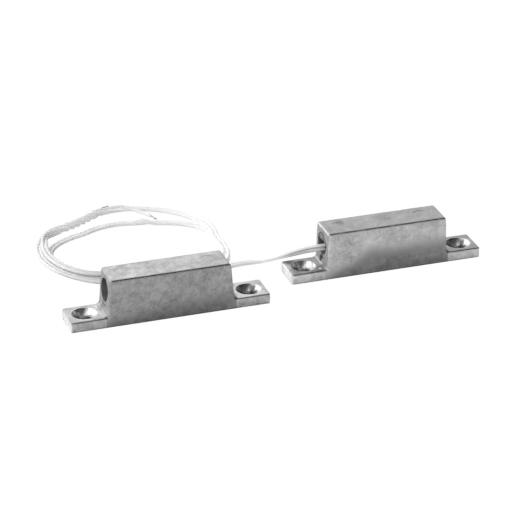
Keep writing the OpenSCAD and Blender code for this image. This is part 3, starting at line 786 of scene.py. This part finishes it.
def smooth(x):
    """Eases from 0 at 0 to 1 at 1."""
    t = min(max(x, 0.0), 1.0)
    return t * t * (3 - 2 * t)


def mix(a, b, s):
    """a where s is 0, b where it is 1."""
    return a + (b - a) * s


def hump(x, centre, width):
    """1 at the centre, easing to 0 a width away."""
    return math.cos(math.pi / 2 * min(abs(x - centre) / width, 1)) ** 2


def window(x, start, end, width):
    """Eases up to 1 after the start and back to 0 after the end."""
    return smooth((x - start) / width) - smooth((x - end) / width)


def on_coil(turn, inset, z):
    """A point on the coil's oval, moved inwards by the inset."""
    a = math.radians(-90 - 360 * turn)
    return Vector((COIL_X + (COIL_RX - inset) * math.cos(a), COIL_Y + (COIL_RY - inset) * math.sin(a), z))


def outward(turn):
    """Level direction square to the line, away from the coil's middle."""
    after, before = turn + HEADING_STEP, turn - HEADING_STEP
    ahead = on_coil(after, line_inset(after), 0) - on_coil(before, line_inset(before), 0)
    return Vector((-ahead.y, ahead.x, 0)).normalized()


def around(turn, angle):
    """Direction square to the line, turned up from its outer side."""
    a = math.radians(angle)
    return math.cos(a) * outward(turn) + math.sin(a) * UP


def line_inset(turn):
    """How far inside the outer oval the pair lies."""
    return (TURN_PITCH * turn + DENT * hump(turn, DENT_AT, DENT_WIDTH)
            + SINK * smooth((turn - SINK_FROM) / SINK_WIDTH)
            - RISE * smooth((turn - RISE_FROM) / RISE_WIDTH)
            + SETTLE * smooth((turn - SETTLE_FROM) / SETTLE_WIDTH)
            - CORNER * hump(turn % 1, CORNER_AT, CORNER_WIDTH))


def pair_roll(turn):
    """How far the pair is rolled over from lying flat, degrees."""
    lean = LEAN * window(turn % 1, LEAN_FROM, LEAN_TO, LEAN_WIDTH)
    return lean + 180 * smooth((turn - SWAP_FROM) / SWAP_WIDTH)


def flat_z(roll):
    """Height at which the rolled pair rests on the table."""
    return WIRE_R + PAIR_HALF * abs(math.sin(math.radians(roll)))


def bundled(turn):
    """1 where the tails are wrapped round the pair."""
    return window(turn, BUNDLE_FROM - BUNDLE_WIDTH, BUNDLE_TO - 0.4 * BUNDLE_WIDTH, BUNDLE_WIDTH)


def glide(x):
    """Runs evenly from 0 to 1, easing in and out."""
    t, e = min(max(x, 0.0), 1.0), TWIST_EASE
    most = 2 * e * (1 - e)
    if t < e:
        return t * t / most
    if t > 1 - e:
        return 1 - (1 - t) ** 2 / most
    return (t - e / 2) / (1 - e)


def twist_angle(turn):
    """How far the wrap has turned, degrees."""
    return 360 * TWISTS * glide((turn - BUNDLE_FROM) / (BUNDLE_TO - BUNDLE_FROM))


def spacing(turn):
    """Half the distance between the pair's centres."""
    return PAIR_HALF + BUNDLE_SWELL * bundled(turn)


def coil_axis(turn):
    """Middle of the pair."""
    b = bundled(turn) if turn < 1 else 0
    return on_coil(turn, line_inset(turn), mix(flat_z(pair_roll(turn)), BUNDLE_Z, b))


def wrapped_point(turn, side):
    """A lead in the first turn, which spins with the tails where they wrap it."""
    spin = twist_angle(turn)
    roll = pair_roll(turn) + spin + 90 * smooth((turn - BUNDLE_FROM + BUNDLE_WIDTH) / BUNDLE_WIDTH)
    return coil_axis(turn) + spacing(turn) * (bundled(turn) * around(turn, spin) + side * around(turn, roll))


def plain_point(turn, side):
    """A lead where the pair lies by itself."""
    return coil_axis(turn) + side * PAIR_HALF * around(turn, pair_roll(turn))


def tail_point(turn, side):
    """The free ends climb on to the second turn, then wrap the first one and fray from it."""
    u = turn - TAIL_FROM
    shifted = smooth((u - TAIL_SHIFT_FROM) / TAIL_SHIFT)
    inset = mix(line_inset(turn), TURN_PITCH * u + TAIL_INSET, shifted)
    loose = on_coil(turn, inset, mix(WIRE_R, TAIL_Z, smooth(u / TAIL_CLIMB)))
    joined = smooth((u - BUNDLE_FROM + JOIN_WIDTH) / JOIN_WIDTH)
    spin = twist_angle(u)
    parted = PART_RATE * max(u - PART_FROM, 0) ** 2
    held = on_coil(u, line_inset(u), BUNDLE_Z) - spacing(u) * around(u, spin) - parted * outward(u)
    held.z = mix(held.z, WIRE_R + 0.01, smooth((u - DROP_FROM) / DROP_WIDTH))
    held.z += 4 * JOIN_LIFT * joined * (1 - joined)
    return loose.lerp(held, joined) + side * spacing(u) * around(u, mix(180, 270, joined) + spin)


def coil_point(turn, side):
    """A lead's centre anywhere on the coil."""
    if turn < 1:
        return wrapped_point(turn, side)
    return plain_point(turn, side) if turn < TAIL_FROM else tail_point(turn, side)


RUN = [Vector(p) for p in (
    (PIVOT.x / MM + 7, 0, EXIT_Z), (PIVOT.x / MM - 0.25, 0, EXIT_Z), (-23.2, 2.4, 7), (-28.2, 6.6, 4.1),
    (-34, 10.2, 1.5), (-41, 10.9, 1.3), (-49, 8.3, 1.9), (-57.5, 8, 1.3))]
RUN += [coil_axis(0), coil_axis(0.05)]


def run_point(span, u, side):
    """A lead's centre between two of the run's points, on a smooth curve through them all."""
    a, b, c, d = RUN[span - 1:span + 3]
    p = 0.5 * (2 * b + (c - a) * u + (2 * a - 5 * b + 4 * c - d) * u * u + (3 * b - a - 3 * c + d) * u ** 3)
    slope = (c - a) + 2 * (2 * a - 5 * b + 4 * c - d) * u + 3 * (3 * b - a - 3 * c + d) * u * u
    left = UP.cross(slope.normalized()).normalized()
    roll = math.radians(mix(90, pair_roll(0), smooth(1.6 * (span - 1 + u) / (len(RUN) - 3))))
    return p + side * PAIR_HALF * (math.cos(roll) * left + math.sin(roll) * UP)


def lead_line(side, start_x):
    """Centre line of one lead from inside the potting to the end of its insulation, metres."""
    z = EXIT_Z + side * PAIR_HALF
    stub = [Vector((start_x + (RUN[1].x - start_x) * i / 8, 0, z)) for i in range(8)]
    run = [run_point(span, j / RUN_STEPS, side) for span in range(1, len(RUN) - 2) for j in range(RUN_STEPS)]
    end = TAIL_END[side]
    turns = [i / TURN_STEPS for i in range(int(end * TURN_STEPS))] + [end]
    return [p * MM for p in stub + run + [coil_point(t, side) for t in turns]]


def build_lead(label, side, pvc, tin):
    """White insulation in one piece across the mouth, and the twisted strands at its bare tip."""
    line = lead_line(side, POTTING_LOW.x / MM + 0.5)
    waver = Vector((side * 9, 0, 0))
    radii = [(WIRE_R + 0.012 * noise.noise(p / MM / 6 + waver)) * MM for p in line]
    for i, shrink in enumerate((0.72, 0.9, 0.98)):
        radii[-1 - i] *= shrink
    skin = mesh_object(f"lead_{label}_cable", *tube(line, radii, 20), pvc)
    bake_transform(skin)
    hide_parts(f"lead_{label}_insulation", f"coil_{label}_insulation")
    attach(build_tip(label, side, tin), "lead_coil")


# The bare tip: six strands laid round a seventh, in millimetres and degrees
STRANDS, STRAND_R, LAY_R, STRAND_TWIST = 7, 0.095, 0.2, 300
TIP_STEPS, STRAND_SIDES = 26, 8


def strand_ring(strand, i, side):
    """Points round one strand at one step along the bare tip."""
    turn = TAIL_END[side] - 2 * TIP_TURNS + 3 * TIP_TURNS * i / TIP_STEPS
    angle = math.radians(STRAND_TWIST * i / TIP_STEPS + 60 * strand)
    ahead = coil_point(turn + HEADING_STEP, side) - coil_point(turn - HEADING_STEP, side)
    u, v = across(ahead.normalized())
    away = 0 if strand == STRANDS - 1 else LAY_R
    centre = coil_point(turn, side) + away * (math.cos(angle) * u + math.sin(angle) * v)
    corners = [2 * math.pi * k / STRAND_SIDES for k in range(STRAND_SIDES)]
    return [(centre + STRAND_R * (math.cos(b) * u + math.sin(b) * v)) * MM for b in corners]


def build_tip(label, side, tin):
    """Seven tinned strands, twisted, standing out of the insulation."""
    verts, faces = [], []
    for strand in range(STRANDS):
        faces += ring_faces(TIP_STEPS + 1, STRAND_SIDES, first=len(verts))
        for i in range(TIP_STEPS + 1):
            verts += strand_ring(strand, i, side)
    tip = mesh_object(f"lead_{label}_strands", verts, faces, tin)
    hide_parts(f"coil_{label}_core")
    return tip


# ---------------------------------------------------------------- epoxy in the switch's mouth
MOUTH_DEPTH = 1.2 * MM      # from the mouth, at the leads' height, to the CAD face of the potting
EPOXY_BACK = 0.2 * MM       # how far the disc reaches into the potting


def epoxy_height(y, z):
    """How far the epoxy stands out of the CAD face at a place in the mouth, millimetres."""
    lumps = noise.noise(Vector((y * 0.9, z * 0.9, 3.1)))
    edge = math.hypot(y, z) / (BORE_R / MM)
    above = smooth((z - 0.4) / 0.45)
    run = 0.18 * math.exp(-((y + 0.6) / 0.45) ** 2)
    height = 0.10 + 0.10 * lumps + above * (0.98 + 0.10 * lumps - run)
    for side in (-1, 1):
        wire_z = EXIT_Z + side * PAIR_HALF - BORE_Z / MM
        away = math.hypot(y, z - wire_z)
        height += 0.18 * math.exp(-((away - 0.55) / 0.25) ** 2) * (1 - above)
    height += 0.3 * smooth((edge - 0.82) / 0.16) * (1 - above)
    height = min(max(height, 0.02), MOUTH_DEPTH / MM - 0.04)
    return height - SWITCH_LEAN / TOP_Z * (z - EXIT_Z + BORE_Z / MM) * above


def build_epoxy(material):
    """A lumpy disc of set epoxy that climbs the wires and the bore's wall."""
    rings, spokes = 30, 72
    face_x = POTTING_LOW.x
    reach = BORE_R - 0.01 * MM
    verts, faces = [], []
    for i in range(rings + 1):
        for k in range(spokes):
            a = 2 * math.pi * k / spokes
            r = reach / MM * i / rings
            y, z = r * math.cos(a), r * math.sin(a)
            verts.append(Vector((face_x / MM - epoxy_height(y, z), y, z + BORE_Z / MM)) * MM)
    for i in range(rings):
        for k in range(spokes):
            a, b = i * spokes + k, i * spokes + (k + 1) % spokes
            faces.append((a, a + spokes, b + spokes, b))
    rim, back = rings * spokes, len(verts)
    for k in range(spokes):
        a = 2 * math.pi * k / spokes
        verts.append(Vector((face_x + EPOXY_BACK, reach * math.cos(a), BORE_Z + reach * math.sin(a))))
        faces.append((rim + k, back + k, back + (k + 1) % spokes, rim + (k + 1) % spokes))
    faces.append(tuple(back + k for k in range(spokes)))
    disc = mesh_object("epoxy_meniscus", verts, faces, material)
    bm = bmesh.new()
    bm.from_mesh(disc.data)
    bmesh.ops.remove_doubles(bm, verts=bm.verts, dist=1e-7)
    bmesh.ops.recalc_face_normals(bm, faces=bm.faces)
    bm.to_mesh(disc.data)
    bm.free()
    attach(disc, "switch_unit")


# ---------------------------------------------------------------- finishes on the CAD nodes kept
def dress_kept_nodes():
    """Gives each CAD node that is kept the finish of its material slot."""
    finishes = {
        "glass": clear_glass("capsule_glass"),
        "reed_metal": drawn_metal("nickel_iron", (0.72, 0.70, 0.66), 0.22),
        "contact_plating": drawn_metal("contact_plate", (0.9, 0.9, 0.92), 0.08),
        "sleeve_rubber": plain_finish("sleeve_rubber", (0.035, 0.035, 0.035), 0, 0.7, 4.0, 0.3),
        "epoxy": set_epoxy("potting_epoxy"),
        "solder": plain_finish("dull_solder", (0.66, 0.67, 0.69), 1.0, 0.32, 3.0, 0.25),
        "shrink_tube": plain_finish("shrink_tube", (0.02, 0.02, 0.02), 0, 0.5, 5.0, 0.3),
        "tinned_copper": drawn_metal("tinned_copper", (0.62, 0.60, 0.57), 0.3),
        "magnet": plain_finish("magnet_alloy", (0.13, 0.13, 0.135), 0.9, 0.36, 2.2, 0.4),
        "glue": plain_finish("set_glue", (0.12, 0.115, 0.10), 0, 0.4, 1.5, 0.4),
    }
    slots = {row["node"]: row["material_slot"] for row in frame["record"]["subparts"]}
    for node, obj in frame["nodes"].items():
        if slots[node] in finishes:
            obj.data.materials.clear()
            obj.data.materials.append(finishes[slots[node]])
    return finishes


# ---------------------------------------------------------------- studio
CAMERA_TARGET = Vector((-0.0335, 0.0121, 0.0))
CAMERA_DISTANCE = 0.7888
CAMERA_AZIMUTH, CAMERA_ELEVATION = -18.68, 25.88
CAMERA_LENS = 179.6
FLOOR_TONE = 0.80
ROOM_LEVEL = 1.3

# Parts of the room that aren't plain white: direction, cosines of the outer and inner edge, level
FRONT_BOARD = ((0.29, -0.44, 0.85), 0.48, 0.84, 0.05)
RIGHT_BOARD = ((0.93, 0.10, 0.32), 0.60, 0.92, 0.18)
LEFT_GLOW = ((-0.70, 0.55, 0.40), 0.25, 0.97, 1.5)


def build_camera():
    """Camera at the viewing angle of the object's picture."""
    a, e = math.radians(CAMERA_AZIMUTH), math.radians(CAMERA_ELEVATION)
    back = Vector((math.sin(a) * math.cos(e), -math.cos(a) * math.cos(e), math.sin(e)))
    data = bpy.data.cameras.new("camera")
    data.lens = CAMERA_LENS
    data.sensor_width = 36
    data.clip_start, data.clip_end = 0.01, 20
    camera = link(bpy.data.objects.new("camera", data))
    camera.location = CAMERA_TARGET + back * CAMERA_DISTANCE
    camera.rotation_mode = "QUATERNION"
    camera.rotation_quaternion = (-back).to_track_quat("-Z", "Y")
    bpy.context.scene.camera = camera


def build_floor():
    """Pale paper, lit so evenly that the camera sees plain white."""
    g = Graph("floor_paper")
    tooth = g.noise(g.place(), 0.9, detail=3)
    paper = g.shader("ShaderNodeBsdfDiffuse", Color=g.grey(g.math("MULTIPLY_ADD", tooth, 0.02, FLOOR_TONE)))
    lit = g.shader("ShaderNodeEmission", Color=(1, 1, 1, 1), Strength=1.0)
    mixed = g.node("ShaderNodeMixShader")
    seen = g.node("ShaderNodeLightPath").outputs["Is Camera Ray"]
    for i, value in enumerate((seen, paper, lit)):
        g.feed(mixed, i, value)
    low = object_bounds()[0].z
    verts = [(x, y, min(low, 0) - 0.00002) for x, y in ((-4, -4), (4, -4), (4, 4), (-4, 4))]
    floor = mesh_object("floor", verts, [(0, 1, 2, 3)], g.output(mixed.outputs[0]))


def board(g, ray, toward, edge, core, level):
    """1, easing to the level around one direction."""
    near = g.vector("DOT_PRODUCT", ray, tuple(Vector(toward).normalized()))
    return g.remap(near, edge, core, 1.0, level)


def build_world():
    """White room: brightest at the left, with dark boards high in front and at the right."""
    world = bpy.data.worlds.new("studio")
    bpy.context.scene.world = world
    world.use_nodes = True
    g = Graph("studio", tree=world.node_tree)
    ray = g.node("ShaderNodeTexCoord").outputs["Generated"]
    light = board(g, ray, *FRONT_BOARD)
    light = g.math("MULTIPLY", light, board(g, ray, *RIGHT_BOARD))
    light = g.math("MULTIPLY", light, board(g, ray, *LEFT_GLOW))
    light = g.math("MULTIPLY", light, ROOM_LEVEL)
    seen = g.node("ShaderNodeLightPath").outputs["Is Camera Ray"]
    strength = g.blend(seen, light, 1.0)
    shader = g.shader("ShaderNodeBackground", Color=(1, 1, 1, 1), Strength=strength)
    g.output(shader, "ShaderNodeOutputWorld")


# ---------------------------------------------------------------- assembly
# Painted light and shade: the tone of each kind of face, by the way it faces. "slant" scales it on low faces that
# slant towards an end, such as the hollow between block and ear, as painted shade; "end_edge" is the share by
# which the block's upper end edges are lighter, as a painted highlight (painted shade where it is below 0),
# "mottle" how uneven the faces are, "edge_gaps" how much of the painted dark edge reflection its gaps keep.
SWITCH_TONES = {"block_side": 0.70, "ear_side": 0.87, "end": 0.43, "far_end": 0.8, "ear_end": 1.0,
                "block_top": 0.315, "ear_top": 0.27, "slant": 0.6, "end_edge": 0.08, "mottle": 1.45,
                "edge_gaps": 0.15, "roughness": 0.42}
MAGNET_TONES = {"block_side": 0.475, "ear_side": 0.68, "end": 0.43, "far_end": 0.8, "ear_end": 1.0,
                "block_top": 0.415, "ear_top": 0.44, "slant": 0.6, "end_edge": -0.25, "mottle": 1.9,
                "edge_gaps": 0.6, "roughness": 0.40}
# Painted dark reflection low on the block's long sides: its height eases from "low" to "high" between two places,
# and "shade" is its tone as a share of the clean metal's.
SWITCH_LOW_REFLECTION = {"from_x": -19, "to_x": -3, "low": 1.6, "high": 7.4, "shade": 0.52}
MAGNET_LOW_REFLECTION = {"from_x": -19, "to_x": 19, "low": 2.2, "high": 5.0, "shade": 0.70}

# Spots on the castings: place from the housing's middle and radius in millimetres, tone factor
SWITCH_SPOTS = (
    ((-19.1, 0.6, 4.6), 1.1, 0.16),       # darker patches under the mouth
    ((-19.1, -0.3, 5.6), 1.0, 0.2),
    ((-20.0, -2.6, 3.5), 1.4, 0.55),      # dark patch on the ear beside the block
    ((-20.6, -3.1, 3.2), 0.5, 7.0),       # painted glint in it
    ((-30.4, 1.0, 3.1), 2.8, 1.9),        # lighter ends of the ears
    ((-30.4, -2.6, 3.1), 1.8, 1.3),
    ((29.6, 0.2, 3.1), 2.8, 1.3),
    ((13.5, -5.2, 11.0), 6.0, 0.93),      # painted shade on the far end of the near side
    ((-12.7, 1.9, 14.6), 1.5, 0.70),      # shade in one ejector mark
    ((16.3, 1.3, 14.6), 0.55, 1.28),      # glint on the other's rim
    ((1.0, 1.2, 14.6), 2.8, 0.88),        # darker patch in the middle of the top
)
MAGNET_SPOTS = (((-19.6, 1.5, 3.9), 0.9, 0.8),)     # painted shade where the block meets the ear

finishes = dress_kept_nodes()
switch_alloy = cast_alloy("switch_casting", SWITCH_AT, SWITCH_TONES, SWITCH_LOW_REFLECTION, SWITCH_SPOTS, 5)
magnet_alloy = cast_alloy("magnet_casting", MAGNET_AT, MAGNET_TONES, MAGNET_LOW_REFLECTION, MAGNET_SPOTS, 2)
build_housing("switch_housing", "switch_unit", SWITCH_AT, SWITCH_LEAN, switch_alloy, 5)
build_housing("magnet_housing", "magnet_unit", MAGNET_AT, MAGNET_LEAN, magnet_alloy, 2)
build_lead("a", 1, white_pvc("lead_a_pvc", 1), finishes["tinned_copper"])
build_lead("b", -1, white_pvc("lead_b_pvc", 2), finishes["tinned_copper"])
build_epoxy(finishes["epoxy"])
build_floor()
build_world()
build_camera()
bpy.context.scene.view_settings.view_transform = "Standard"
